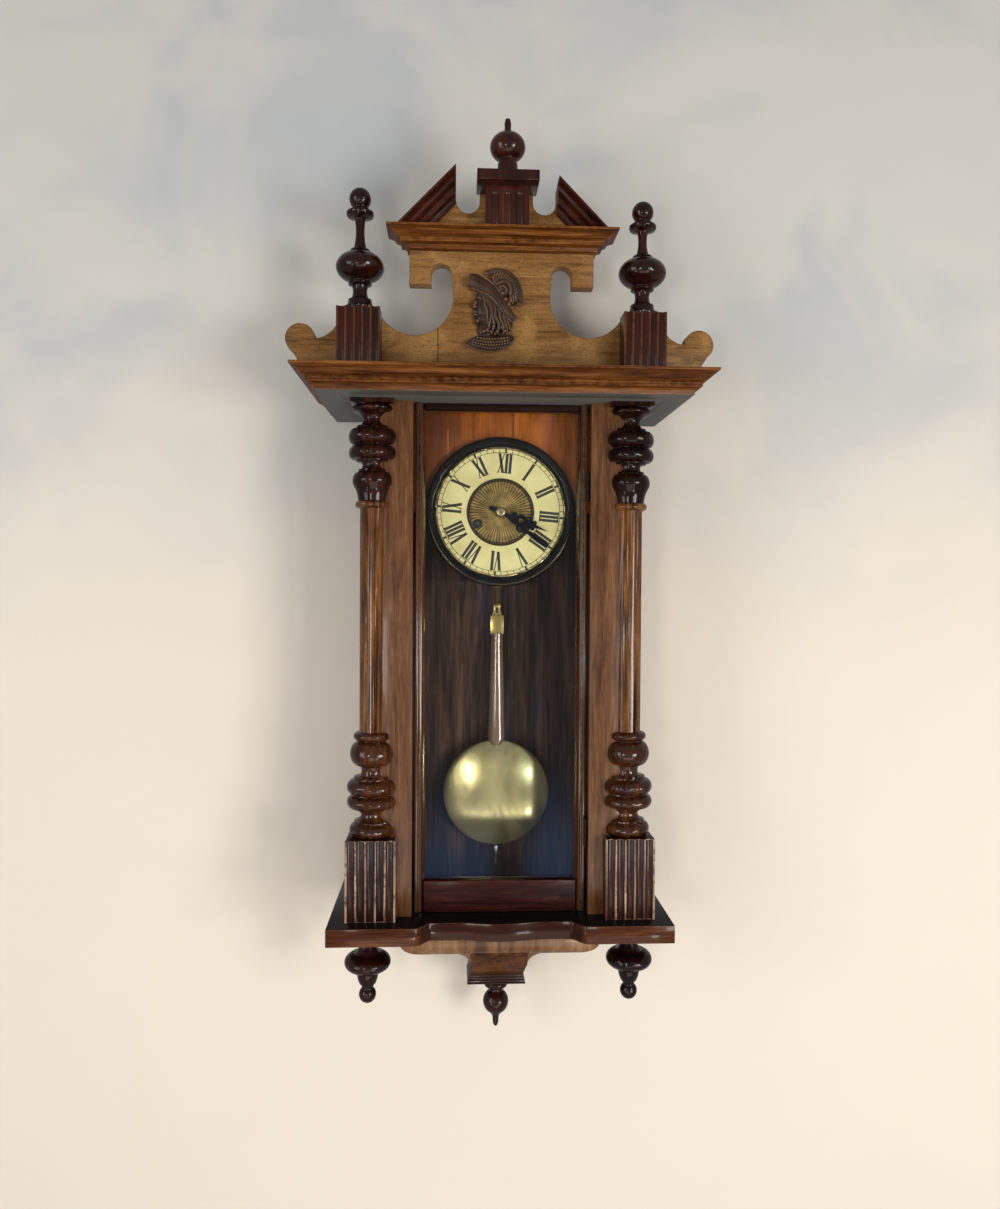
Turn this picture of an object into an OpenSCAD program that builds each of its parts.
// Vienna regulator wall clock, two-train spring movement, in millimetres.
// The origin is the hanging hole on the wall plane, +Z is up and the front faces -Y.

/* [Case] */
// Outer width of the case
case_w = 270; // [260:1:280]
// Height of the case between plinth and cornice
case_h = 540; // [520:1:570]
// Wall to the front face of the pilasters
case_d = 139; // [136:1:146]
// Thickness of the side boards
side_t = 10; // [8:0.5:13]
// Thickness of the back board
back_t = 12; // [9:0.5:14]
// Thickness of the pilaster boards
pilaster_t = 12; // [9:0.5:14]
// Width of the opening between the pilasters
opening_w = 186.4; // [180:0.2:192]
// Hanging hole below the top edge of the cornice
hang_drop = 45; // [42:1:55]

/* [Cornice and plinth] */
// Width of the cornice at its top edge
cornice_w = 420; // [410:1:440]
// Wall to the top edge of the cornice
cornice_d = 209; // [204:1:220]
// Height of the cornice moulding
cornice_h = 23.5; // [20:0.5:28]
// How far the cornice moulding steps out
cornice_out = 21.5; // [16:0.5:25]
// Width of the plinth board
plinth_w = 357; // [350:1:370]
// Wall to the front edge of the plinth board
plinth_d = 174; // [170:1:180]
// Thickness of the plinth board
plinth_t = 18.5; // [14:0.5:22]
// Depth of the serpentine recess in the plinth front
recess = 15.5; // [8:0.5:18]

/* [Columns] */
// Diameter of the column shafts
shaft_dia = 27.4; // [24:0.2:30]
// Width of the fluted blocks under the columns
block_w = 52; // [50:0.5:54]
// Height of the fluted blocks
block_h = 84.5; // [70:0.5:95]
// Height of the turned capitals
capital_h = 104; // [96:1:112]
// Front of the blocks ahead of the pilaster face
block_lead = 18; // [16:0.5:20]

/* [Crest] */
// Thickness of the crest board
crest_t = 16; // [12:0.5:18]
// Wall to the front face of the crest board
crest_d = 101; // [98:1:106]
// Height of the crest board up to the pediment
crest_h = 144; // [140:1:150]
// Height of the pediment moulding
pediment_h = 19.5; // [16:0.5:22]
// How far the pediment moulding steps out
pediment_out = 22; // [18:0.5:24]
// Slope of the raking mouldings in degrees
rake_angle = 45.5; // [42:0.5:48]
// How far the middle pedestal sits right of the centre
pedestal_x = 4.5; // [0:0.5:6]
// Height of the corner blocks under the finials
corner_block_h = 76; // [70:1:80]
// Width of the corner blocks
corner_block_w = 45.5; // [42:0.5:48]
// Stem length of the left finial
stem_left = 31; // [26:0.5:36]
// Stem length of the right finial
stem_right = 24; // [20:0.5:32]

/* [Door] */
// Gap between door and pilasters on each side
door_gap = 2.4; // [2.3:0.1:3]
// Thickness of the door frame
door_t = 18; // [16:0.5:20]
// Door face behind the pilaster face
door_set = 8.5; // [8:0.5:10]
// Width of the door stiles
stile_w = 10; // [9:0.5:13]
// Height of the bottom rail
bottom_rail_h = 33; // [26:0.5:40]
// Height of the top rail
top_rail_h = 6; // [5:0.5:12]
// Thickness of the glass
glass_t = 2; // [1.8:0.1:3]
// Width of the rebate that holds the glass
rebate = 4; // [3:0.5:5]
// Running clearance above and below the door
door_clear = 1; // [0.6:0.1:1.5]
// Diameter of the hinge knuckles
knuckle_dia = 4; // [3.6:0.1:4.2]
// Diameter of the hinge pins
pin_dia = 1.8; // [1.6:0.1:2]

/* [Dial] */
// Dial centre below the hanging hole
dial_drop = 90.5; // [86:0.5:95]
// Outer diameter of the bezel
bezel_dia = 163; // [160:1:168]
// Outer diameter of the chapter ring
chapter_dia = 139; // [134:1:142]
// Diameter of the gilt centre
centre_dia = 73.4; // [70:0.2:76]
// How far the dial is turned clockwise, in degrees
dial_turn = 5; // [0:0.5:6]
// Length of the minute hand from its centre
minute_len = 65; // [60:1:67]
// Length of the hour hand from its centre
hour_len = 56; // [48:1:58]

/* [Movement] */
// Thickness of the movement plates
plate_t = 2; // [1.6:0.1:2.4]
// Space between the movement plates
plate_gap = 36; // [36:0.5:38]
// Room between the movement and the dial plate
dial_room = 12; // [11.5:0.5:14]
// Radial running clearance of the pivots
run_clear = 0.08; // [0.05:0.01:0.1]
// Teeth of the great wheels
great_teeth = 72; // [66:6:78]
// Leaves of the pinions that the great wheels drive
great_leaves = 12; // [12:1:14]

/* [Pendulum] */
// Length from the suspension to the middle of the bob
pendulum_len = 375; // [365:1:385]
// Diameter of the bob
bob_dia = 123; // [114:1:128]
// Thickness of the bob
bob_t = 22; // [16:1:26]
// Pendulum plane behind the back plate
pendulum_lead = 16; // [15:0.5:18]

/* [Hidden] */
$fn = 64;

// Heights, measured from the hanging hole
cornice_z = hang_drop;
soffit_z = cornice_z - cornice_h;
foot_z = soffit_z - case_h;
under_z = foot_z - plinth_t;
dial_z = -dial_drop;
pivot_rise = 54;
pivot_z = dial_z + pivot_rise;

// Case
inner_w = case_w - 2 * side_t;
column_x = case_w / 2;
column_d = case_d - 8;
block_front = case_d + block_lead;
tail_drop = 86;
tail_z = under_z - tail_drop;
tail_w = 66;
tail_front = 64;
tail_top = 105;
tail_cap_h = 9.5;
scallop_x = 51;
scallop_r = 20;
drop_x = 140;
drop_d = 125;
apron_d = plinth_d - recess - 8;
apron_low = 20;
tail_start = 18;
tail_face = 61;
top_x = 165;
top_d = 165;

// Crest, with heights above the cornice
crest_back = crest_d - crest_t;
corner_x = 151.5;
corner_lead = 29;
ear_x = 216;
ear_z = 48.5;
ear_r = 16;
cutout_x = 94;
cutout_z = 95.5;
cutout_r = 41.7;
bracket_x0 = 76;
bracket_x1 = 99.5;
hook_r = 11;
pediment_z = crest_h + pediment_h;
pediment_core_x = 101;
pediment_lead = 7;
rake_end_x = 112;
rake_half = 54.5;
scoop_at = 41.2;
scoop_r = 12.5;
scoop_z = pediment_z + 34;
pedestal_w = 46;
pedestal_lead = 24;
pedestal_top = pediment_z + 42.5;
cap_w = 65;
cap_t = 11;
cap_back = crest_d - 3;
cap_front = crest_d + 39;

// Door
door_x = opening_w / 2 - door_gap;
door_front = case_d - door_set;
door_back = door_front - door_t;
door_top = soffit_z - door_clear;
door_bottom = foot_z + door_clear;
glass_front = door_front - 11.5;
glass_fit = 0.2;
hinge_x = door_x + 0.1;
hinge_d = door_front + knuckle_dia / 2 + 0.4;
hinge_h = 30;
hinge_inset = 70;
leaf_t = 0.8;
hinge_zs = [door_bottom + hinge_inset, door_top - hinge_inset - hinge_h];

// Depths of the works. The spare depth is shared between the bob's back and the glass
hand_front = 10.8;
glass_back = glass_front - glass_t;
works_t = bob_t / 2 + pendulum_lead + 2 * plate_t + plate_gap + dial_room + hand_front;
spare = glass_back - back_t - works_t;
share_behind = 35;
share_ahead = 41;
bob_gap = spare * share_behind / (share_behind + share_ahead);
pendulum_d = back_t + bob_gap + bob_t / 2;
movement_back = pendulum_d + pendulum_lead;
dial_back = movement_back + 2 * plate_t + plate_gap + dial_room;

// Movement, with positions as [x, z] from the dial centre
plate0 = movement_back;
plate1 = movement_back + plate_t + plate_gap;
inside0 = plate0 + plate_t;
front1 = plate1 + plate_t;
winding_r = 27.88;
winding_angle = 32.5;
going_at = winding_r * [cos(-winding_angle - dial_turn), sin(-winding_angle - dial_turn)];
strike_at = winding_r * [cos(180 + winding_angle - dial_turn), sin(180 + winding_angle - dial_turn)];
great_m = 2 * winding_r / (great_teeth + great_leaves);
train_teeth = 80;
train_leaves = 8;
centre_m = 0.6;
third_m = 0.5;
third_reach = centre_m * (train_teeth + train_leaves) / 2;
escape_reach = third_m * (train_teeth + train_leaves) / 2;
escape_at = [0, 33];
third_y = (pow(third_reach, 2) - pow(escape_reach, 2) + pow(escape_at[1], 2)) / (2 * escape_at[1]);
third_at = [-sqrt(pow(third_reach, 2) - pow(third_y, 2)), third_y];
escape_teeth = 30;
escape_r = 15;
cannon_teeth = 12;
minute_teeth = 36;
minute_leaves = 10;
hour_teeth = 40;
motion_m = 0.5;
motion_reach = motion_m * (cannon_teeth + minute_teeth) / 2;
hour_m = 2 * motion_reach / (minute_leaves + hour_teeth);
minute_at = [0, -motion_reach];
pin_dir = 130;
pin_at = strike_at + winding_r * [cos(pin_dir), sin(pin_dir)];
pin_circle = 5.2;
hammer_at = [-43, 32];
hammer_len = 64;
hammer_lean = 6;
arbor_r = 2.4;
pivot_r = 0.9;
swing_r = 1.2;
centre_r = 1.5;
cannon_r = 2.2;
pipe_r = 3.4;
barrel_r = 20;
screw_r = 1.5;
hole_r = 5.4;
plate_x = 49;
plate_low = -42;
plate_high = pivot_rise + 10;
centre_plane = plate1 - 7;
third_plane = plate1 - 3.5;
great_plane = inside0 + 3;
strike_plane = plate1 - 13;
escape_plane = inside0 + 12;
pin_plane = inside0 + 16;
gong_turns = 3.5;
gong_pitch = 5;
gong_r0 = 20;
gong_wire = 1.1;
gong_z = dial_z - 8;
gong_d = back_t + bob_gap + 2;
gong_steps = 84;
minute_angle = 126;
hour_angle = 112;

// Pendulum
bob_z = pivot_z - pendulum_len;
rod_top = bob_z + 185.5;
rod_bottom = bob_z + bob_dia / 2 - 7.5;
leader_r = 0.9;
nut_r = 3.6;
nut_h = 11;
screw_end = bob_z - bob_dia / 2 - 22.5;

// Colours
walnut = "#6b3a1e";
dark = "#35140f";
golden = "#8a6232";
brass = "#b5954a";
steel = "#8d9096";
blued = "#1d2430";
cream = "#e6dfae";

// Points of an arc about [x, z], from angle a0 to a1
function arc(x, z, r, a0, a1, n) =
    [for (i = [0:n]) [x + r * cos(a0 + (a1 - a0) * i / n), z + r * sin(a0 + (a1 - a0) * i / n)]];

// A rounded ring on a turning, from z0 down to z1, rising from r0 to r1
function bead(z0, z1, r0, r1, n = 8) =
    [for (i = [0:n]) [r0 + (r1 - r0) * sin(180 * i / n), (z0 + z1) / 2 + (z0 - z1) / 2 * cos(180 * i / n)]];

// A hollow on a turning, from r0 at z0 to r1 at z1, drawn in to depth
function hollow(z0, z1, r0, r1, depth, n = 8) =
    [for (i = [0:n]) [r0 + (r1 - r0) * i / n - depth * sin(180 * i / n), z0 + (z1 - z0) * i / n]];

// Mirrors a list of [x, z] points
function flip(points) = [for (i = [len(points) - 1:-1:0]) [-points[i][0], points[i][1]]];

// Section of the cornice moulding: step out and height, from the bottom up
function cornice_section(out, h) = concat(
    [[0, -h], [0.05 * out, -0.98 * h], [0.05 * out, -0.84 * h]],
    [for (i = [1:4]) [0.05 * out + 0.27 * out * (1 - cos(22.5 * i)), -h * (0.84 - 0.14 * sin(22.5 * i))]],
    [for (i = [0:4]) [0.32 * out + 0.05 * out * sin(45 * i), -h * (0.69 - 0.1 * i / 4)]],
    [for (i = [0:4]) [0.32 * out + 0.05 * out * sin(45 * i), -h * (0.58 - 0.1 * i / 4)]],
    [for (i = [1:10]) [out * (0.34 + 0.62 * (i / 10 + 0.13 * sin(36 * i))), -h * (0.48 - 0.37 * i / 10)]],
    [[out, -0.1 * h], [out, 0]]);

// A board between wall distances d0 and d1
module board(x0, x1, d0, d1, z0, z1) {
    translate([x0, -d1, z0]) cube([x1 - x0, d1 - d0, z1 - z0]);
}

// A front-view outline made solid between wall distances d0 and d1
module outline(d0, d1) {
    translate([0, -d0, 0]) rotate([90, 0, 0]) linear_extrude(d1 - d0) children();
}

// A flat shape about a movement position, between wall distances d0 and d1
module at(p, d0, d1) {
    translate([p[0], -d0, dial_z + p[1]]) rotate([90, 0, 0]) linear_extrude(d1 - d0) children();
}

// A rod about a movement position
module rod_at(p, r, d0, d1) {
    translate([p[0], -d0, dial_z + p[1]]) rotate([90, 0, 0]) cylinder(r = r, h = d1 - d0);
}

module both_sides() {
    children();
    mirror([1, 0, 0]) children();
}

// A block with the moulding mitred round its front and both ends
module moulded_block(core_x, core_d, out, h, back_d) {
    section = cornice_section(out, h);
    side = [for (q = section) [core_x + q[0], q[1]]];
    intersection() {
        rotate([90, 0, 90]) linear_extrude(2 * (core_x + out) + 2, center = true)
            polygon(concat([for (q = section) [-core_d - q[0], q[1]]], [[-back_d, 0], [-back_d, -h]]));
        rotate([90, 0, 0]) linear_extrude(core_d + out + 1) polygon(concat(side, flip(side)));
    }
}

// Grooves cut down the front of a block, each round in section
module flutes(x, w, front_d, z0, z1, count, r) {
    for (i = [0:count - 1]) {
        translate([x + (i - (count - 1) / 2) * w / count, -front_d - r * 0.55, z0])
            cylinder(r = r, h = z1 - z0, $fn = 24);
    }
}

/* Case */

module back_board() {
    sweep = [for (i = [0:10]) let (u = i / 10)
        [tail_top - (tail_top - 31) * sin(90 * u), under_z - (tail_drop - 14) * pow(u, 2)]];
    half = concat([[column_x, soffit_z], [column_x, foot_z], [tail_top, foot_z]], sweep, [[31, tail_z]]);
    color(walnut) difference() {
        outline(0, back_t) polygon(concat(half, flip(half)));
        board(-20.2, 20.2, -1, 2, -12.2, 12.2);
        board(-12, 12, -1, 9, -9, 7);
    }
}

module hanging_plate() {
    color(brass) difference() {
        board(-20, 20, 0, 2, -12, 12);
        rotate([90, 0, 0]) translate([0, 0, -1]) cylinder(r = 4, h = 4);
        for (x = [-15, 15]) translate([x, 1, 0]) rotate([90, 0, 0]) cylinder(r = 1.6, h = 4);
    }
}

module case_sides() {
    color(walnut) both_sides()
        board(column_x - side_t, column_x, back_t, case_d - pilaster_t, foot_z, soffit_z);
}

module pilasters() {
    color(walnut) both_sides()
        board(opening_w / 2, column_x, case_d - pilaster_t, case_d, foot_z, soffit_z);
}

module top_board() {
    color("#4a3a30") board(-top_x, top_x, 0, top_d, soffit_z, cornice_z - 4);
}

module cornice_moulding() {
    color("#7a4a28") difference() {
        translate([0, 0, cornice_z])
            moulded_block(cornice_w / 2 - cornice_out, cornice_d - cornice_out, cornice_out, cornice_h, 0);
        board(-top_x, top_x, -1, top_d, soffit_z - 1, cornice_z - 4);
    }
}

// Front edge of the plinth board at x, measured from the wall
function smooth(t) = let (u = min(1, max(0, t))) u * u * (3 - 2 * u);
function plinth_edge(x) = plinth_d - recess * smooth((88 - abs(x)) / 16)
    + (abs(x) < 45 ? 0.18 * recess * (1 + cos(4 * x)) : 0);

module plinth() {
    wave = [for (x = [-88:4:88]) [x, -plinth_edge(x)]];
    half = plinth_w / 2;
    color(walnut) translate([0, 0, under_z]) linear_extrude(plinth_t)
        polygon(concat([[half, 0], [tail_top, 0], [tail_top, -back_t], [-tail_top, -back_t],
            [-tail_top, 0], [-half, 0], [-half, -plinth_d]], wave, [[half, -plinth_d]]));
}

module apron() {
    top = under_z;
    wing = top - apron_low - scallop_r - 6;
    front = concat([[tail_top, top], [tail_top, top - 5]],
        [for (a = [10:10:90]) [tail_top - 26 + 26 * cos(a), top - 5 - (apron_low - 5) * sin(a)]],
        arc(scallop_x, top - apron_low - scallop_r, scallop_r, 90, 172, 8), [[tail_face / 2, wing]]);
    color(walnut) difference() {
        intersection() {
            outline(back_t, apron_d + 2) polygon(concat(flip(front), front));
            rotate([90, 0, 90]) linear_extrude(2 * tail_top + 10, center = true)
                polygon(concat([[-back_t, top], [-apron_d, top], [-apron_d, top - 8]],
                    [for (a = [15:15:75]) [-apron_d + 8 * (1 - cos(a)), top - 8 - 12 * sin(a)]],
                    [[-apron_d + 9, top - apron_low], [-apron_d + 30, top - apron_low - scallop_r],
                    [-apron_d + 34, wing], [-back_t, wing]]));
        }
        board(-tail_face / 2, tail_face / 2, back_t - 1, apron_d + 3, wing - 1, top - tail_start);
    }
}

// Side view of the tail bracket, sweeping back from the apron to the wall
function tail_sweep(z0, z1) = [for (i = [0:10]) let (t = i / 10)
    [-(apron_d - 4.5) + (apron_d - 2.5 - tail_front) * t, z0 + (z1 - z0) * (1.35 * t - 0.35 * t * t)]];

module tail_block() {
    top = under_z - tail_start;
    low = tail_z + tail_cap_h;
    half = tail_face / 2;
    color(walnut) intersection() {
        outline(back_t, apron_d)
            polygon([[-half, top], [half, top], [half, top - 28], [half - 1.4, low - 0.8],
                [1.4 - half, low - 0.8], [-half, top - 28]]);
        rotate([90, 0, 90]) linear_extrude(tail_w, center = true)
            polygon(concat([[-back_t, top]], tail_sweep(top, low),
                [[2 - tail_front, low - 1], [-back_t, low - 1]]));
    }
    color(dark) translate([0, 0, tail_z]) mirror([0, 0, 1])
        moulded_block(tail_w / 2 - 3.5, tail_front - 1.5, 3.5, tail_cap_h, back_t);
}

module tail_finial() {
    z = tail_z;
    color(dark) translate([0, -tail_front + 12, 0]) rotate_extrude()
        polygon(concat([[0, z]], bead(z, z - 8, 10, 13.5), [[7, z - 8.5], [7, z - 10.5]],
            [for (a = [60:-15:-60]) [14.6 * cos(a), z - 24.6 + 14.8 * sin(a)]],
            hollow(z - 38.5, z - 45, 6.4, 3.5, 0.9, 6), [[3.2, z - 50], [1.8, z - 53.4], [0, z - 54.3]]));
}

module drop_finials() {
    z = under_z;
    color(dark) both_sides() translate([drop_x, -drop_d, 0]) rotate_extrude()
        polygon(concat([[0, z], [10, z], [10, z - 3]], hollow(z - 3, z - 23, 9, 12, 3),
            bead(z - 24, z - 43, 13, 24.6, 12), [[12, z - 43.5], [11.4, z - 46]],
            hollow(z - 46, z - 57, 11.4, 8.5, -0.6, 6), bead(z - 57, z - 60, 6, 6.8, 4),
            [for (a = [50:-20:-90]) [9.2 * cos(a), z - 68.5 + 9.4 * sin(a)]]));
}

/* Columns */

// Everything in front of the pilaster face and beside the case
module corner_cut(x, z0, z1) {
    board(-x - 1, column_x, -1, case_d, z0 - 1, z1 + 1);
}

module capitals() {
    z = soffit_z;
    color(dark) both_sides() difference() {
        union() {
            board(column_x - 22, column_x + 22, column_d - 22, column_d + 22, z - 4.5, z);
            translate([column_x, -column_d, 0]) rotate_extrude() polygon(concat([[0, z - 4.5]],
                bead(z - 4.5, z - 12.5, 17, 22), hollow(z - 13.5, z - 25.5, 14.5, 13, 3),
                [[17, z - 26.5], [17, z - 28.5]], bead(z - 29, z - 46.5, 19, 25.6),
                bead(z - 47.5, z - 61.5, 20.5, 25.4), [[17.5, z - 62], [17.5, z - 63.5]],
                hollow(z - 64, z - 71, 12.5, 12.5, 1.2, 6), [[15.5, z - 71.5], [15.5, z - 73.5]],
                [for (a = [55:-15:-5]) [14 + 7.6 * cos(a), z - 83 + 10 * sin(a)]],
                hollow(z - 87, z - capital_h, 21, 15.5, 1.2, 6), [[0, z - capital_h]]));
        }
        corner_cut(column_x, z - capital_h, z);
    }
}

module columns() {
    z0 = soffit_z - capital_h;
    z1 = foot_z + block_h;
    r = shaft_dia / 2;
    color("#7b4a26") both_sides() difference() {
        translate([column_x, -column_d, 0]) rotate_extrude() polygon(concat([[0, z0]],
            bead(z0, z0 - 8, 15, 18.8), [[r, z0 - 8.5], [r, z1 + 110]],
            bead(z1 + 109.5, z1 + 101, 16, 19.8), [[16, z1 + 100.5]],
            bead(z1 + 100, z1 + 74, 14, 23.4, 12), hollow(z1 + 73, z1 + 64, 12.5, 12.5, 1, 6),
            [[19, z1 + 63], [19, z1 + 60.5]], bead(z1 + 60, z1 + 44, 19.5, 26.6),
            bead(z1 + 43, z1 + 29.5, 20.5, 26.6), hollow(z1 + 28.5, z1 + 17, 17.5, 16, 5),
            [[18.8, z1 + 16.5], [18.8, z1 + 14.5]], bead(z1 + 14, z1, 18, 24), [[0, z1]]));
        corner_cut(column_x, z1, z0);
    }
}

module column_blocks() {
    half = block_w / 2;
    color("#5a2f1c") both_sides() difference() {
        board(column_x - half, column_x + half, block_front - block_w, block_front,
            foot_z, foot_z + block_h);
        corner_cut(column_x, foot_z, foot_z + block_h);
        flutes(column_x, block_w - 2, block_front, foot_z - 1, foot_z + block_h + 1, 5, 5.2);
    }
}

/* Crest */

// Half of the crest outline below the pediment, on the +X side
function crest_side() = concat([[206, 0], [213, 16]], arc(ear_x, ear_z, ear_r, -55, 180, 24),
    arc(ear_x - 13, ear_z + corner_block_h - 47, 29.2, -96, -175, 10),
    [[corner_x + corner_block_w / 2, corner_block_h]],
    arc(cutout_x, cutout_z, cutout_r, -27.9, -185, 24),
    arc(bracket_x0 - hook_r, crest_h - 24, hook_r, 180, 0, 12),
    [[bracket_x0, crest_h - 35.5], [bracket_x1, crest_h - 35.5], [bracket_x1, crest_h]]);

// Half of the crest outline above the pediment, for the side s
function crest_peak(s) =
    let (inner = rake_half + s * pedestal_x, apex = pediment_z + (rake_end_x - inner) * tan(rake_angle))
    concat([[bracket_x1, pediment_z], [rake_end_x - 2, pediment_z], [inner, apex - 2 * tan(rake_angle)]],
        [[inner, scoop_z]], arc(scoop_at + s * pedestal_x, scoop_z, scoop_r, 0, -180, 12),
        [[scoop_at - scoop_r + s * pedestal_x, pedestal_top]]);

module crest_board() {
    right = concat(crest_side(), crest_peak(1));
    left = concat(crest_side(), crest_peak(-1));
    color(golden) translate([0, 0, cornice_z]) outline(crest_back, crest_d)
        polygon(concat(right, flip(left)));
}

module pediment_cornice() {
    color("#7a4a28") translate([0, 0, cornice_z + pediment_z]) difference() {
        moulded_block(pediment_core_x, crest_d + pediment_lead, pediment_out, pediment_h, crest_back);
        board(-bracket_x1, bracket_x1, -1, crest_d, -pediment_h - 1, 1);
    }
}

module raking_moulding(s) {
    inner = rake_half + s * pedestal_x;
    length = 2 * (rake_end_x - inner) / cos(rake_angle);
    section = cornice_section(pediment_out, pediment_h + 3);
    intersection() {
        translate([rake_end_x, 0, pediment_z]) rotate([0, rake_angle, 0]) rotate([90, 0, 90])
            linear_extrude(length, center = true)
            polygon(concat([for (q = section) [-crest_d - pediment_lead + 3 - q[0], q[1]]],
                [[-crest_d, 0], [-crest_d, -pediment_h - 3]]));
        board(inner, 200, crest_d, 200, pediment_z, pediment_z + 100);
    }
}

module raking_mouldings() {
    color(dark) translate([0, 0, cornice_z]) {
        raking_moulding(1);
        mirror([1, 0, 0]) raking_moulding(-1);
    }
}

module centre_pedestal() {
    z0 = cornice_z + pediment_z;
    z1 = cornice_z + pedestal_top;
    front = crest_d + pedestal_lead;
    color(dark) translate([pedestal_x, 0, 0]) difference() {
        board(-pedestal_w / 2, pedestal_w / 2, crest_d, front, z0, z1);
        for (i = [-1:1]) {
            translate([i * 13, -front - 2, z0 - 1]) cylinder(r = 4.6, h = z1 - z0 - 8, $fn = 24);
            translate([i * 13, -front - 2, z1 - 9]) sphere(r = 4.6, $fn = 24);
        }
    }
}

module pedestal_cap() {
    z = cornice_z + pedestal_top;
    color(dark) translate([pedestal_x, 0, 0])
        board(-cap_w / 2, cap_w / 2, cap_back, cap_front, z, z + cap_t);
}

module centre_finial() {
    z = cornice_z + pedestal_top + cap_t;
    color(dark) translate([pedestal_x, -(cap_back + cap_front) / 2, 0]) rotate_extrude()
        polygon(concat([[0, z], [15, z]],
            [for (i = [1:6]) [15 - 4.5 * sin(15 * i), z + 13 - 13 * cos(15 * i)]],
            [for (a = [-60:10:75]) [18.8 * cos(a), z + 31 + 16 * sin(a)]],
            hollow(z + 47.5, z + 52, 4.6, 3.4, 0.4, 4), [[3.6, z + 56], [2.6, z + 60.5], [0, z + 62]]));
}

module corner_blocks() {
    half = corner_block_w / 2;
    front = crest_d + corner_lead;
    color(dark) translate([0, 0, cornice_z]) both_sides() difference() {
        board(corner_x - half, corner_x + half, crest_d, front, 0, corner_block_h);
        flutes(corner_x, corner_block_w - 2, front, -1, corner_block_h + 1, 5, 4.5);
    }
}

module corner_finial(stem) {
    z = cornice_z + corner_block_h;
    neck = z + 66 + stem;
    translate([0, -(crest_back + crest_d + corner_lead) / 2, 0]) rotate_extrude()
        polygon(concat([[0, z], [18.5, z], [18.5, z + 3]],
            [for (i = [1:6]) [18 - 5.5 * sin(15 * i), z + 12 - 9 * cos(15 * i)]],
            hollow(z + 14, z + 26, 9, 8.5, 1.2, 6), [[12.5, z + 28]],
            [for (a = [-65:10:75]) [24.6 * cos(a) + 1, z + 46.5 + 17 * sin(a)]],
            [[11, z + 63.5], [10, z + 65]], hollow(z + 65.5, neck, 6.8, 5.6, 1.6, 8),
            [[13.5, neck + 2.5], [14.6, neck + 5], [14.4, neck + 7.5], [11, neck + 10], [7.5, neck + 11.5]],
            [for (a = [-50:14:90]) [11.6 * cos(a), neck + 21.5 + 11.8 * sin(a)]]));
}

module corner_finials() {
    color(dark) {
        translate([-corner_x, 0, 0]) corner_finial(stem_left);
        translate([corner_x, 0, 0]) corner_finial(stem_right);
    }
}

// A rounded lump of the carving: middle, half sizes and tilt in the plane of the board
module lump(x, z, rx, rz, rise, tilt = 0) {
    translate([x, 0, z]) rotate([0, tilt, 0]) scale([rx, rise, rz]) sphere(r = 1, $fn = 24);
}

module carved_head() {
    color(dark) translate([-1.5, -crest_d, cornice_z + 82]) intersection() {
        union() {
            lump(-3, 22, 30, 11, 10, 33);
            lump(4, 30, 19, 16, 13, 25);
            lump(17, 33, 17, 9, 11, 35);
            lump(-13, 5, 11, 19, 9, 8);
            lump(11, 2, 16, 22, 10, -8);
            lump(20, -18, 10, 15, 8, -20);
            lump(-3, -18, 13, 16, 8, 15);
            lump(-2, -35, 32, 11, 9, -3);
        }
        board(-40, 40, 0, 30, -47, 60);
    }
}

/* Door */

module door_stiles() {
    low = door_bottom;
    back = door_back;
    color(walnut) both_sides() translate([0, 0, low]) linear_extrude(door_top - low)
        polygon(concat([[door_x - stile_w, -glass_front], [door_x - stile_w, -glass_front - 3.5]],
            [[door_x - stile_w + 1.2, -door_front + 6], [door_x - stile_w + 3.2, -door_front + 2.6],
            [door_x - stile_w + 4.4, -door_front + 2.2], [door_x - 5.2, -door_front + 0.2],
            [door_x - 4.4, -door_front], [door_x - 3.8, -door_front + 1.4],
            [door_x - 3.2, -door_front + 0.3],
            [door_x - 2.2, -door_front], [door_x - 0.8, -door_front + 0.3], [door_x, -door_front + 1.2],
            [door_x, -back], [door_x - stile_w + rebate, -back],
            [door_x - stile_w + rebate, -glass_front]]));
}

module door_rails() {
    half = door_x - stile_w;
    color("#5d2c1a") {
        board(-half, half, glass_front, door_front - 1.5, door_bottom, door_bottom + bottom_rail_h);
        board(-half - rebate, half + rebate, door_back, glass_front,
            door_bottom, door_bottom + bottom_rail_h - rebate);
        board(-half, half, glass_front, door_front - 1.5, door_top - top_rail_h, door_top);
        board(-half - rebate, half + rebate, door_back, glass_front,
            door_top - top_rail_h + rebate, door_top);
    }
}

module door_glass() {
    half = door_x - stile_w + rebate - glass_fit;
    color("#c8d4d8", 0.4) board(-half, half, glass_front - glass_t, glass_front,
        door_bottom + bottom_rail_h - rebate + glass_fit, door_top - top_rail_h + rebate - glass_fit);
}

module glazing_beads() {
    x1 = door_x - stile_w + rebate;
    z0 = door_bottom + bottom_rail_h - rebate;
    z1 = door_top - top_rail_h + rebate;
    color(walnut) difference() {
        board(-x1, x1, door_back, glass_front - glass_t, z0, z1);
        board(-x1 + rebate, x1 - rebate, 0, case_d, z0 + rebate, z1 - rebate);
    }
}

module knuckle(z0, z1) {
    translate([hinge_x, -hinge_d, z0]) difference() {
        cylinder(r = knuckle_dia / 2, h = z1 - z0, $fn = 32);
        translate([0, 0, -1]) cylinder(r = pin_dia / 2 + run_clear, h = z1 - z0 + 2, $fn = 32);
    }
}

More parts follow.
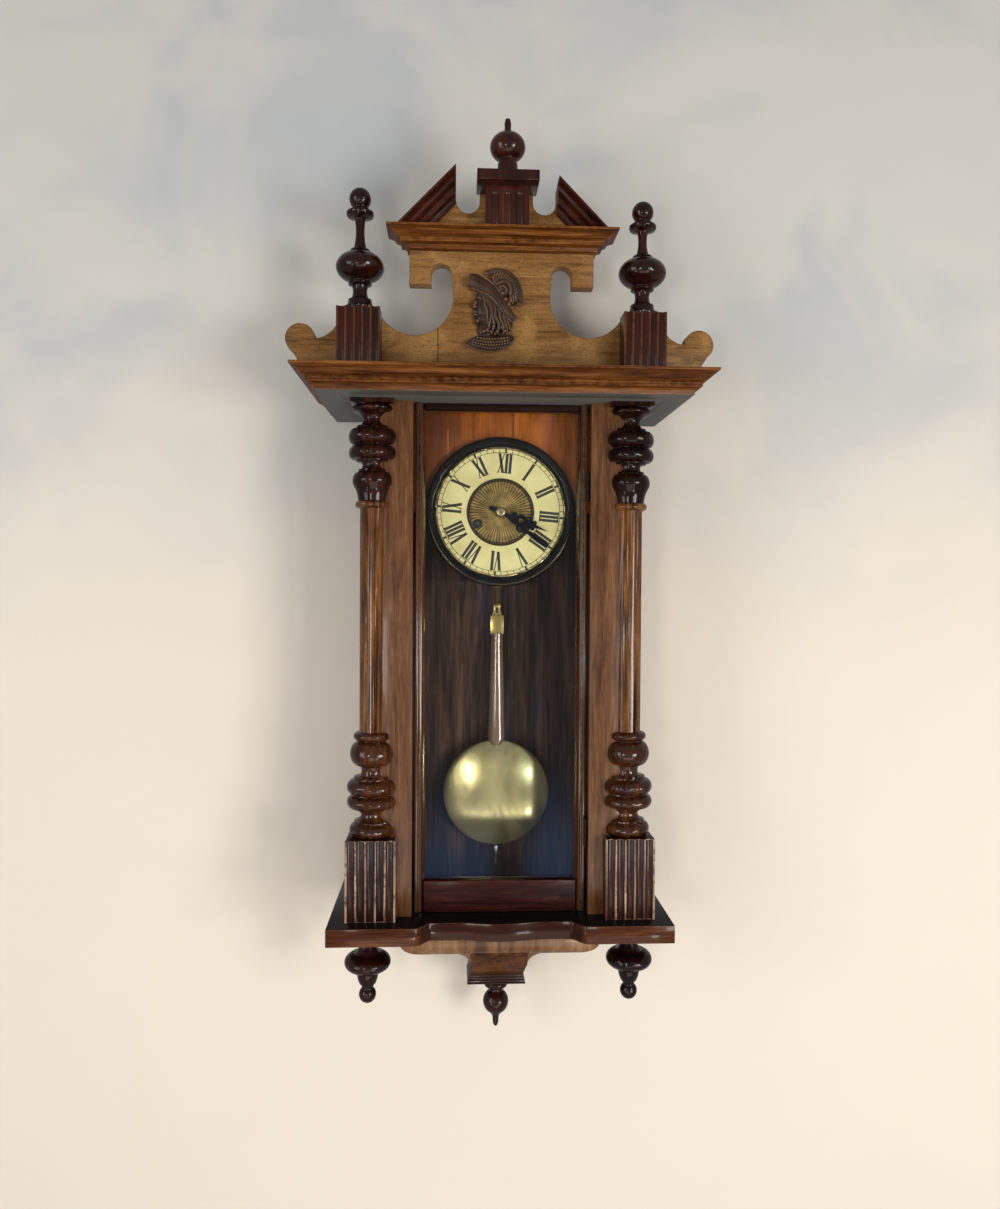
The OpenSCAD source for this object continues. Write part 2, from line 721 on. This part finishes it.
module door_hinge_leaves() {
    third = hinge_h / 3;
    color(brass) for (z = hinge_zs) {
        knuckle(z + third + 0.3, z + 2 * third - 0.3);
        difference() {
            board(door_x, door_x + leaf_t, door_back + 3, hinge_d, z + third + 0.3, z + 2 * third - 0.3);
            translate([hinge_x, -hinge_d, z]) cylinder(r = knuckle_dia / 2 - 0.2, h = hinge_h, $fn = 32);
        }
    }
}

module case_hinge_leaves() {
    third = hinge_h / 3;
    x1 = opening_w / 2;
    color(brass) for (z = hinge_zs) {
        for (k = [0, 2]) {
            translate([hinge_x, -hinge_d, z + k * third]) cylinder(r = knuckle_dia / 2, h = third, $fn = 32);
            difference() {
                board(hinge_x + 0.6, x1, door_back + 3, hinge_d, z + k * third, z + (k + 1) * third);
                board(0, x1 - leaf_t, 0, hinge_d - 1.5, z - 1, z + hinge_h + 1);
            }
        }
        translate([hinge_x, -hinge_d, z]) cylinder(r = pin_dia / 2, h = hinge_h, $fn = 32);
        board(x1 - leaf_t, x1, door_back + 3, hinge_d - 1.5, z, z + hinge_h);
    }
}

module door_catch() {
    z = (foot_z + soffit_z) / 2;
    back = case_d - pilaster_t;
    color(brass) difference() {
        board(-opening_w / 2 - 12, -opening_w / 2 + 0.8, back - 8, back, z - 8, z + 8);
        board(-opening_w / 2 - 13, -opening_w / 2 - 3, back - 9, back - 1.5, z - 9, z + 9);
        for (k = [-5, 5]) translate([-opening_w / 2 - 8, 1 - back, z + k])
            rotate([90, 0, 0]) cylinder(r = 0.8, h = 20);
    }
}

/* Dial */

module dial_board() {
    color("#7d451f") difference() {
        board(-inner_w / 2, inner_w / 2, dial_back - 8, dial_back - 2, dial_z, soffit_z);
        rod_at([0, 0], 59, 0, 200);
    }
}

module winding_holes() {
    for (p = [going_at, strike_at]) translate(p) circle(r = hole_r);
}

module dial_plate() {
    color(brass) {
        at([0, 0], dial_back, dial_back + 1) difference() {
            circle(r = bezel_dia / 2 - 1, $fn = 96);
            circle(r = 6);
            winding_holes();
        }
        for (a = [60, 180, 300]) rod_at(45 * [cos(a), sin(a)], 2, front1, dial_back);
    }
}

module chapter_ring() {
    color(cream) at([0, 0], dial_back + 1, dial_back + 2) difference() {
        circle(r = chapter_dia / 2, $fn = 96);
        circle(r = centre_dia / 2, $fn = 96);
    }
}

module centre_disc() {
    r = centre_dia / 2;
    color(brass) difference() {
        translate([0, -dial_back - 1, dial_z]) rotate([90, 0, 0]) rotate_extrude($fn = 96)
            polygon([[6, 0], [r - 0.1, 0], [r - 0.1, 1.6], [r - 0.8, 2.2], [r - 1.6, 1.4], [r - 2.4, 1.4],
                [r - 3.2, 2], [r - 4, 1], [6, 1]]);
        at([0, 0], dial_back, dial_back + 5) winding_holes();
    }
}

module bezel() {
    r0 = chapter_dia / 2 - 1;
    r1 = bezel_dia / 2;
    color("#4a4232") translate([0, -dial_back - 1, dial_z]) rotate([90, 0, 0]) rotate_extrude($fn = 96)
        polygon(concat([[r0 + 1.2, 0], [r1, 0]], [for (i = [0:8]) let (a = 11.25 * i)
            [r1 - 5 + 5 * cos(a), 1 + 6 * sin(a)]], [for (i = [1:6]) let (a = 90 + 13 * i)
            [r1 - 6.5 + 4.2 * cos(a), 2.4 + 4.6 * sin(a)]],
            [[r0 + 0.6, 3.4], [r0, 2.4], [r0, 1.2], [r0 + 1.2, 1.2]]));
}

// Places a hand drawn upwards along +z at a clockwise angle
module hand(angle, d0, d1) {
    at([0, 0], d0, d1) rotate(-angle) children();
}

module minute_hand() {
    d = dial_back + 7;
    blade = [[-1.3, minute_len * 0.52], [-3, minute_len * 0.66], [-3, minute_len * 0.93], [-0.6, minute_len],
        [2.4, minute_len * 0.9], [2.4, minute_len * 0.62], [1.5, minute_len * 0.5]];
    color(blued) hand(minute_angle, d, d + 0.8) difference() {
        polygon(concat(arc(0, 0, 4.2, 69, -249, 36), blade));
        circle(r = 1.6);
    }
}

module hour_hand() {
    d = dial_back + 4.6;
    half = concat([[0, -14.5], [2.4, -11.5], [2.6, -9.5], [1.4, -6], [1.2, -4.9]], arc(0, 0, 5, -75, 70, 8),
        [[1.7, 11.6]], arc(3.2, 15, 3, -120, 90, 6), arc(0, 24, 6.4, -60, 60, 6),
        arc(4.4, 31.2, 3, -60, 110, 6), [[2.6, 35.8]], arc(3.2, 38.8, 2.4, -60, 120, 5),
        [[1.5, 43], [0, hour_len]]);
    color(blued) hand(hour_angle, d, d + 0.8) difference() {
        polygon(concat(half, flip(half)));
        circle(r = pipe_r);
        translate([0, 24]) circle(r = 2.6, $fn = 32);
        for (s = [-1, 1]) translate([s * 4.6, 31.2]) circle(r = 1.2, $fn = 24);
    }
}

module hand_nut() {
    d = dial_back + 7.8;
    color(brass) translate([0, -d, dial_z]) rotate([90, 0, 0]) rotate_extrude()
        polygon([[1.6, 0], [5, 0], [5.2, 1.4], [4.4, 2.6], [1.6, 3]]);
}

/* Movement */

function polar(a, r) = [r * cos(a), r * sin(a)];

// Outline of a wheel's teeth, with a tooth on the +x axis
module wheel(n, m) {
    step = 360 / n;
    r = n * m / 2;
    polygon([for (i = [0:n - 1]) each [polar((i - 0.25) * step, r - 1.3 * m), polar((i - 0.22) * step, r),
        polar((i - 0.07) * step, r + 0.75 * m), polar((i + 0.07) * step, r + 0.75 * m),
        polar((i + 0.22) * step, r), polar((i + 0.25) * step, r - 1.3 * m)]]);
}

// Outline of a pinion's leaves, thin and low so that they run free
module pinion(n, m) {
    step = 360 / n;
    r = n * m / 2;
    polygon([for (i = [0:n - 1]) each [polar((i - 0.13) * step, r - 1.15 * m), polar((i - 0.15) * step, r),
        polar((i - 0.05) * step, r + 0.5 * m), polar((i + 0.05) * step, r + 0.5 * m),
        polar((i + 0.15) * step, r), polar((i + 0.13) * step, r - 1.15 * m)]]);
}

// Four crossings between a hub and a rim
module crossings(r0, r1) {
    for (a = [0:90:270]) rotate(a) difference() {
        intersection() {
            difference() {
                circle(r = r1);
                circle(r = r0);
            }
            square(r1 * 2);
        }
        translate([-1, -1]) square([2.2, 100]);
        translate([-1, -1]) square([100, 2.2]);
    }
}

// Pivot holes in a plate
module pivots(points, r) {
    for (p = points) translate(p) circle(r = r + run_clear, $fn = 32);
}

function pillar_points() =
    [for (x = [-plate_x + 5, plate_x - 5]) for (z = [plate_low + 4, plate_high - 5]) [x, z]];

module plate_blank() {
    translate([-plate_x, plate_low]) square([2 * plate_x, plate_high - plate_low]);
}

module back_plate() {
    color(brass) {
        at([0, 0], plate0, inside0) difference() {
            plate_blank();
            pivots([[0, 0], third_at, escape_at, pin_at], pivot_r);
            pivots([going_at, strike_at], arbor_r);
            pivots([[0, pivot_rise], hammer_at], swing_r);
        }
        for (p = pillar_points()) rod_at(p, 3, inside0, plate1);
    }
}

module front_plate() {
    color(brass) {
        at([0, 0], plate1, front1) difference() {
            plate_blank();
            pivots([third_at, escape_at, pin_at, hammer_at, [0, pivot_rise]], pivot_r);
            pivots([going_at, strike_at], arbor_r);
            pivots([[0, 0]], centre_r);
        }
        rod_at(minute_at, pivot_r, front1, front1 + 9.2);
    }
}

module movement_brackets() {
    z = dial_z + plate_low;
    color(steel) both_sides() {
        board(34, 42, back_t, front1, z - 4, z);
        board(34, 42, back_t, back_t + 3, z - 34, z - 4);
    }
}

module centre_arbor() {
    going_dir = -winding_angle - dial_turn;
    third_dir = atan2(third_at[1], third_at[0]);
    color(brass) {
        at([0, 0], centre_plane, centre_plane + 2) rotate(third_dir + 180 / train_teeth) difference() {
            wheel(train_teeth, centre_m);
            crossings(5, train_teeth * centre_m / 2 - 3);
            circle(r = 1);
        }
        at([0, 0], front1 + 2, front1 + 5) rotate(90) pinion(cannon_teeth, motion_m);
        rod_at([0, 0], cannon_r, front1 + 5, dial_back + 7);
    }
    color(steel) {
        at([0, 0], great_plane - 1, great_plane + 4) rotate(going_dir) pinion(great_leaves, great_m);
        rod_at([0, 0], centre_r, inside0 + 0.5, dial_back + hand_front);
        rod_at([0, 0], pivot_r, plate0, inside0 + 0.5);
    }
}

module hour_wheel() {
    color(brass) difference() {
        union() {
            at([0, 0], front1 + 6.2, front1 + 8) rotate(-90 + 180 / hour_teeth) wheel(hour_teeth, hour_m);
            rod_at([0, 0], pipe_r, front1 + 5.6, dial_back + 5.4);
        }
        rod_at([0, 0], cannon_r + run_clear, front1, dial_back + 20);
    }
}

module minute_wheel() {
    color(brass) difference() {
        union() {
            at(minute_at, front1 + 2.6, front1 + 4.4) rotate(90 + 180 / minute_teeth)
                wheel(minute_teeth, motion_m);
            at(minute_at, front1 + 4.4, front1 + 8.6) rotate(90) pinion(minute_leaves, hour_m);
        }
        rod_at(minute_at, pivot_r + run_clear, front1, front1 + 20);
    }
}

// A spring barrel with its great wheel at the plane d
module barrel(p, toward, d, d0, d1) {
    difference() {
        union() {
            at(p, d, d + 2.5) rotate(toward + 180 / great_teeth) wheel(great_teeth, great_m);
            rod_at(p, barrel_r, d0, d1);
        }
        rod_at(p, arbor_r + run_clear, 0, 200);
    }
}

module going_barrel() {
    color(brass) barrel(going_at, 180 - winding_angle - dial_turn, great_plane, great_plane, plate1 - 9);
}

module strike_barrel() {
    color(brass) barrel(strike_at, pin_dir, strike_plane, inside0 + 3, strike_plane + 2.5);
}

// A winding arbor with its ratchet and a squared end for the key
module winding_arbor(p) {
    rod_at(p, arbor_r, plate0, front1 + 3);
    at(p, front1 + 0.4, front1 + 2) difference() {
        circle(r = 8, $fn = 32);
        for (a = [0:20:340]) rotate(a) translate([8, 0]) circle(r = 0.8, $fn = 6);
    }
    at(p, front1 + 3, dial_back + 4) square(3.3, center = true);
}

module going_arbor() {
    color(steel) winding_arbor(going_at);
}

module strike_arbor() {
    color(steel) winding_arbor(strike_at);
}

module third_wheel() {
    to_centre = atan2(-third_at[1], -third_at[0]);
    to_escape = atan2(escape_at[1] - third_at[1], escape_at[0] - third_at[0]);
    color(brass) {
        at(third_at, third_plane, third_plane + 1.8) rotate(to_escape) difference() {
            wheel(train_teeth, third_m);
            crossings(4.4, train_teeth * third_m / 2 - 2.6);
            circle(r = 1);
        }
    }
    color(steel) {
        at(third_at, centre_plane - 1, third_plane) rotate(to_centre) pinion(train_leaves, centre_m);
        rod_at(third_at, 1.3, inside0 + 0.5, plate1 - 0.5);
        rod_at(third_at, pivot_r, plate0, front1);
    }
}

module escape_wheel() {
    to_third = atan2(third_at[1] - escape_at[1], third_at[0] - escape_at[0]);
    step = 360 / escape_teeth;
    color(brass) at(escape_at, escape_plane, escape_plane + 1.5) difference() {
        polygon([for (i = [0:escape_teeth - 1]) each [polar(i * step, escape_r),
            polar((i + 0.12) * step, escape_r), polar((i + 0.42) * step, escape_r - 2.6),
            polar((i + 0.86) * step, escape_r - 2.6)]]);
        crossings(3.6, escape_r - 4.4);
        circle(r = 1);
    }
    color(steel) {
        at(escape_at, third_plane - 1, third_plane + 2.6) rotate(to_third + 180 / train_leaves)
            pinion(train_leaves, third_m);
        rod_at(escape_at, 1.2, inside0 + 0.5, third_plane - 1);
        rod_at(escape_at, pivot_r, plate0, front1);
    }
}

module anchor() {
    span = pivot_rise - escape_at[1];
    color(steel) {
        at([0, pivot_rise], escape_plane - 1, escape_plane + 2.5) difference() {
            union() {
                circle(r = 3.4);
                for (s = [-1, 1]) {
                    polygon([[0, 2.6], [s * 12.6, -4.2], [s * 14.2, -9.6], [s * 12.2, -9.8],
                        [s * 10.8, -5.4], [0, -2.6]]);
                }
            }
            circle(r = 1);
        }
        rod_at([0, pivot_rise], swing_r, plate0 - 8, plate1 - 0.5);
        rod_at([0, pivot_rise], pivot_r, plate1 - 0.5, front1);
        at([0, pivot_rise], plate0 - 8, plate0 - 6.5) union() {
            circle(r = 2.4);
            translate([-1, -42]) square([2, 41]);
        }
        for (s = [-1, 1]) translate([s * (leader_r + 0.45 + 0.5), 0, 0])
            board(-0.5, 0.5, pendulum_d - 3, plate0 - 6.5, pivot_z - 43, pivot_z - 41);
        board(-2.35, 2.35, plate0 - 8, plate0 - 6.5, pivot_z - 43, pivot_z - 41);
    }
}

module pin_wheel() {
    color(brass) at(pin_at, pin_plane, pin_plane + 1.5) circle(r = pin_circle + 1);
    color(steel) {
        for (a = [22.5:45:359]) rod_at(pin_at + polar(a, pin_circle), 0.5, pin_plane - 3, pin_plane);
        at(pin_at, strike_plane - 1, strike_plane + 3.5) rotate(pin_dir + 180) pinion(great_leaves, great_m);
        rod_at(pin_at, swing_r, inside0 + 0.5, plate1 - 0.5);
        rod_at(pin_at, pivot_r, plate0, front1);
    }
}

module hammer() {
    color(steel) {
        rod_at(hammer_at, swing_r, plate0 - 10, plate1 - 0.5);
        rod_at(hammer_at, pivot_r, plate1 - 0.5, front1);
        at(hammer_at, plate0 - 10, plate0 - 8) union() {
            circle(r = 3);
            rotate(hammer_lean) translate([-1, -hammer_len]) square([2, hammer_len]);
        }
        at(hammer_at, pin_plane - 2.6, pin_plane - 1) union() {
            circle(r = 2.6);
            translate([-0.8, -15.5]) square([1.6, 15.5]);
        }
    }
    color(brass) at(hammer_at, gong_d - 2, plate0 - 7) rotate(hammer_lean)
        translate([-3.5, -hammer_len - 4.5]) square([7, 9]);
}

// A spiral gong rod on its block behind the movement
function gong_radius(i) = gong_r0 + gong_pitch * gong_turns * i / gong_steps;
function gong_point(i, k) =
    let (a = 360 * gong_turns * i / gong_steps + 90, q = gong_radius(i) + gong_wire * cos(60 * k))
    [q * cos(a), -gong_d - gong_wire * sin(60 * k), gong_z + q * sin(a)];

module gong() {
    points = [for (i = [0:gong_steps]) for (k = [0:5]) gong_point(i, k)];
    end = gong_steps * 6;
    faces = concat([[for (k = [5:-1:0]) k]], [[for (k = [0:5]) end + k]],
        [for (i = [0:gong_steps - 1]) for (k = [0:5]) let (j = i * 6, n = (k + 1) % 6)
            each [[j + k, j + 6 + n, j + 6 + k], [j + k, j + n, j + 6 + n]]]);
    last = gong_radius(gong_steps);
    color(steel) polyhedron(points, faces);
    color(brass) board(-5, 5, back_t, gong_d + 3, gong_z - last - 6, gong_z - last + 1);
}

/* Pendulum */

module suspension_cock() {
    color(brass) difference() {
        board(-7, 7, pendulum_d - 6, plate0, pivot_z + 3, pivot_z + 15);
        board(-0.15, 0.15, pendulum_d - 4, pendulum_d + 4, pivot_z, pivot_z + 6);
    }
}

module suspension_spring() {
    color(steel) board(-0.15, 0.15, pendulum_d - 4, pendulum_d + 4, pivot_z - 10, pivot_z + 6);
}

module pendulum_hook() {
    z1 = rod_top + 21;
    color(brass) board(-2.5, 2.5, pendulum_d - 4.5, pendulum_d + 4.5, pivot_z - 15, pivot_z - 10);
    color(steel) translate([0, -pendulum_d, z1 + 12])
        cylinder(r = leader_r, h = pivot_z - 15 - z1 - 12, $fn = 24);
    color(brass) {
        outline(pendulum_d - 2, pendulum_d + 2) difference() {
            polygon([[-5, z1], [5, z1], [5, z1 + 3], [3.2, z1 + 6], [4.2, z1 + 11], [1.6, z1 + 14],
                [-1.6, z1 + 14], [-4.2, z1 + 11], [-3.2, z1 + 6], [-5, z1 + 3]]);
            translate([-1.1, z1 + 3]) square([2.2, 6]);
        }
        board(-7.6, 7.6, pendulum_d - 4.5, pendulum_d + 4.5, rod_top, z1);
    }
}

module bob_shape() {
    r = bob_dia / 2;
    lens = concat([[0, bob_t / 2]], [for (a = [81:-9:-81])
        [r * cos(a), bob_t / 2 * sin(a) * (1 - 0.12 * cos(a))]], [[0, -bob_t / 2]]);
    translate([0, -pendulum_d, bob_z]) rotate([90, 0, 0]) rotate_extrude($fn = 96) polygon(lens);
}

module pendulum_rod() {
    color("#4f2716") difference() {
        outline(pendulum_d - 1, pendulum_d + 7) polygon(concat([[7, rod_top], [10.3, rod_bottom + 12]],
            arc(0, rod_bottom + 10, 10.3, 0, -180, 12), [[-10.3, rod_bottom + 12], [-7, rod_top]]));
        bob_shape();
    }
}

module rating_screw() {
    translate([0, -pendulum_d, screw_end]) rotate([0, 0, 40]) cylinder(r = screw_r, h = 42, $fn = 24);
}

module bob() {
    color(brass) difference() {
        bob_shape();
        rating_screw();
    }
    color(steel) rating_screw();
}

module rating_nut() {
    z = bob_z - bob_dia / 2 - 0.5;
    color(brass) translate([0, -pendulum_d, z - nut_h]) difference() {
        cylinder(r = nut_r, h = nut_h, $fn = 32);
        translate([0, 0, -1]) cylinder(r = screw_r + run_clear, h = nut_h + 2, $fn = 24);
    }
}

back_board();
case_sides();
top_board();
cornice_moulding();
pilasters();
capitals();
columns();
column_blocks();
plinth();
apron();
tail_block();
tail_finial();
drop_finials();
crest_board();
pediment_cornice();
raking_mouldings();
centre_pedestal();
pedestal_cap();
centre_finial();
corner_blocks();
corner_finials();
carved_head();
dial_board();
hanging_plate();
door_stiles();
door_rails();
door_glass();
glazing_beads();
door_hinge_leaves();
case_hinge_leaves();
door_catch();
dial_plate();
chapter_ring();
centre_disc();
bezel();
hour_hand();
minute_hand();
hand_nut();
back_plate();
front_plate();
movement_brackets();
centre_arbor();
hour_wheel();
minute_wheel();
going_barrel();
strike_barrel();
going_arbor();
strike_arbor();
third_wheel();
escape_wheel();
anchor();
pin_wheel();
hammer();
gong();
suspension_cock();
suspension_spring();
pendulum_hook();
pendulum_rod();
bob();
rating_nut();
